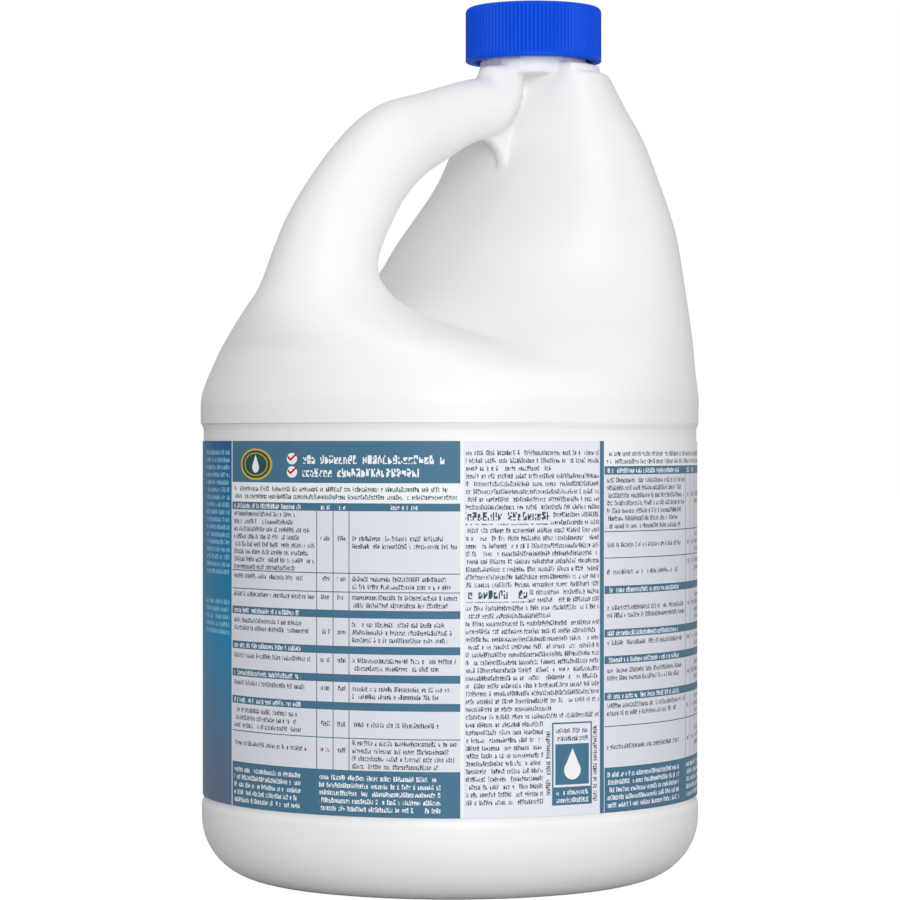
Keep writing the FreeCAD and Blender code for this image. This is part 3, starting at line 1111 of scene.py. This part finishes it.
def label_sleeve():
    """A thin upright sheet bent round the body, open at its seam."""
    gap = SEAM_WIDTH / LABEL_RADIUS
    inner = LABEL_RADIUS - LABEL_THICKNESS
    section = [(inner, LABEL_BOTTOM), (LABEL_RADIUS, LABEL_BOTTOM)]
    section += [(LABEL_RADIUS, LABEL_TOP), (inner, LABEL_TOP)]
    points = []
    for angle in SEAM_ANGLE + gap / 2 + (2 * math.pi - gap) * np.linspace(0, 1, LABEL_SIDES + 1):
        points += [(radius * math.cos(angle), radius * math.sin(angle), z) for radius, z in section]
    quads = [(0, 1, 2, 3)]
    for first in range(0, 4 * LABEL_SIDES, 4):
        for j in range(4):
            k = (j + 1) % 4
            quads.append((first + j, first + 4 + j, first + 4 + k, first + k))
    last = 4 * LABEL_SIDES
    quads.append((last + 3, last + 2, last + 1, last))
    return np.array(points), np.array(quads)


def camera():
    """The camera, which its lens shift aims at the photo's horizon."""
    data = bpy.data.cameras.new("camera")
    data.sensor_width = SENSOR
    data.lens = FOCAL_PIXELS * SENSOR / FRAME_PIXELS
    data.shift_y = (HORIZON_ROW - FRAME_PIXELS / 2) / FRAME_PIXELS
    thing = bpy.data.objects.new("camera", data)
    thing.location = (
        VIEW_DISTANCE * math.sin(VIEW_AZIMUTH),
        -VIEW_DISTANCE * math.cos(VIEW_AZIMUTH),
        VIEW_HEIGHT,
    )
    thing.rotation_euler = (math.radians(90), 0, VIEW_AZIMUTH)
    bpy.context.scene.collection.objects.link(thing)
    bpy.context.scene.camera = thing


def around(azimuth, height, distance):
    """A place at an angle from the camera's side, seen from above, in metres."""
    turn = VIEW_AZIMUTH + math.radians(azimuth)
    return (distance * math.sin(turn), -distance * math.cos(turn), height)


def lamp(name, azimuth, height, distance, size, power):
    """A large soft lamp that faces the jug's middle."""
    data = bpy.data.lights.new(name, "AREA")
    data.shape = "RECTANGLE"
    data.size, data.size_y = size
    data.energy = power
    thing = bpy.data.objects.new(name, data)
    place = around(azimuth, height, distance)
    thing.location = place
    aim = (-place[0], -place[1], VIEW_HEIGHT - place[2])
    level = math.hypot(aim[0], aim[1])
    thing.rotation_euler = (math.atan2(level, -aim[2]), 0, math.atan2(-aim[0], aim[1]))
    bpy.context.scene.collection.objects.link(thing)


def studio():
    """A white floor that fades into a white surround, and soft lamps."""
    world = bpy.data.worlds.new("surround")
    bpy.context.scene.world = world
    world.use_nodes = True
    surround = Network(world.node_tree)
    background = surround.tree.nodes["Background"]
    seen = surround.ray("Is Camera Ray").use("MAXIMUM", surround.ray("Is Transmission Ray"))
    surround.feed(background.inputs["Color"], (1, 1, 1, 1))
    surround.feed(background.inputs["Strength"], WORLD_LEVEL + seen * (1 - WORLD_LEVEL))

    mesh = bpy.data.meshes.new("floor")
    corners = [(x * FLOOR_REACH, y * FLOOR_REACH, 0) for x, y in ((-1, -1), (1, -1), (1, 1), (-1, 1))]
    mesh.from_pydata(corners, [], [(0, 1, 2, 3)])
    floor = bpy.data.objects.new("floor", mesh)
    bpy.context.scene.collection.objects.link(floor)
    finish = Finish("floor_paint", 0.8)
    finish.paint((FLOOR_PAINT, FLOOR_PAINT, FLOOR_PAINT, 1))
    glow = finish.node("ShaderNodeEmission", {}, (1, 1, 1, 1), FLOOR_GLOW)
    share = finish.ray("Is Camera Ray") * FLOOR_GLOW_SHARE
    blend = finish.node("ShaderNodeMixShader", {}, share, finish.shader.outputs[0], glow.outputs[0])
    finish.feed(finish.tree.nodes["Material Output"].inputs["Surface"], blend.outputs[0])
    mesh.materials.append(finish.material)

    lamp("key", azimuth=4, height=0.52, distance=1.5, size=(0.9, 0.9), power=12.0)
    lamp("right_fill", azimuth=70, height=0.45, distance=1.6, size=(0.6, 1.0), power=2.6)
    lamp("top", azimuth=0, height=1.6, distance=0.5, size=(0.8, 0.8), power=2.5)
    bpy.context.scene.view_settings.view_transform = "Standard"


camera()
studio()
bottle()
cap()
label()
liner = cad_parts["cap_liner"]
liner.data.materials.clear()
liner.data.materials.append(foam())
